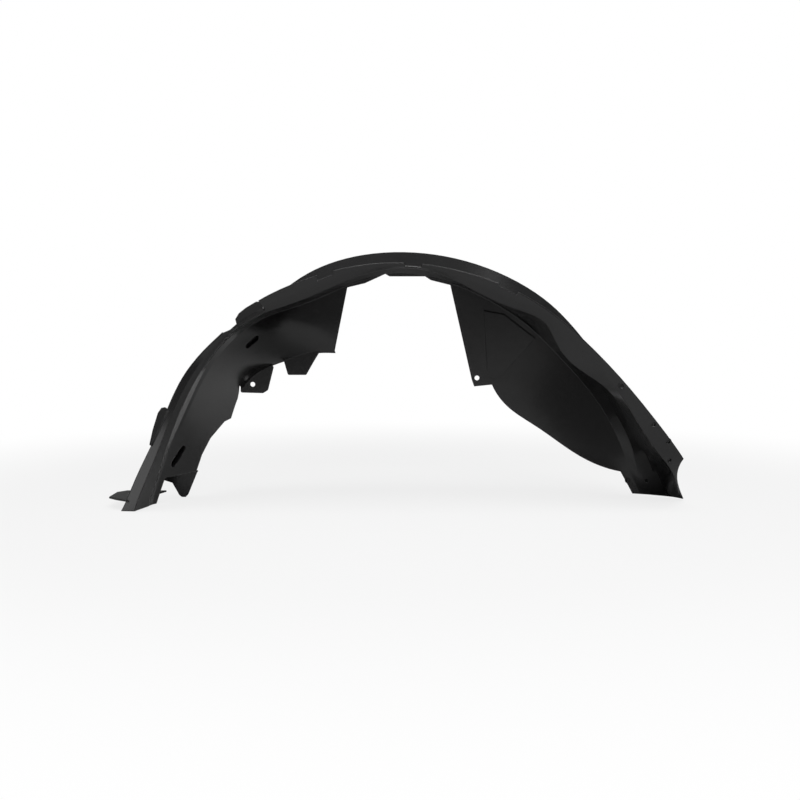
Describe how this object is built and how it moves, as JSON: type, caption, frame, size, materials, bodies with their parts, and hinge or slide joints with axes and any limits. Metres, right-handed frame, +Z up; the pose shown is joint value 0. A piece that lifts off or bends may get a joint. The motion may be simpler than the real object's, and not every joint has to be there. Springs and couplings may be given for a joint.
{
  "type": "mudguard",
  "caption": "Black moulded inner liner for a front wheel arch, with a notched outer lip, vaulted band, strut gap and clip flaps.",
  "frame": {"origin": "middle of the liner's box, on the floor it stands on", "axes": "+X to the rear of the car, +Y inboard, +Z up"},
  "size_m": [0.893, 0.2089, 0.3883],
  "materials": {
    "liner": "semi-gloss moulded black plastic"
  },
  "bodies": {
    "root": {"liner": "liner"}
  },
  "joints": []
}
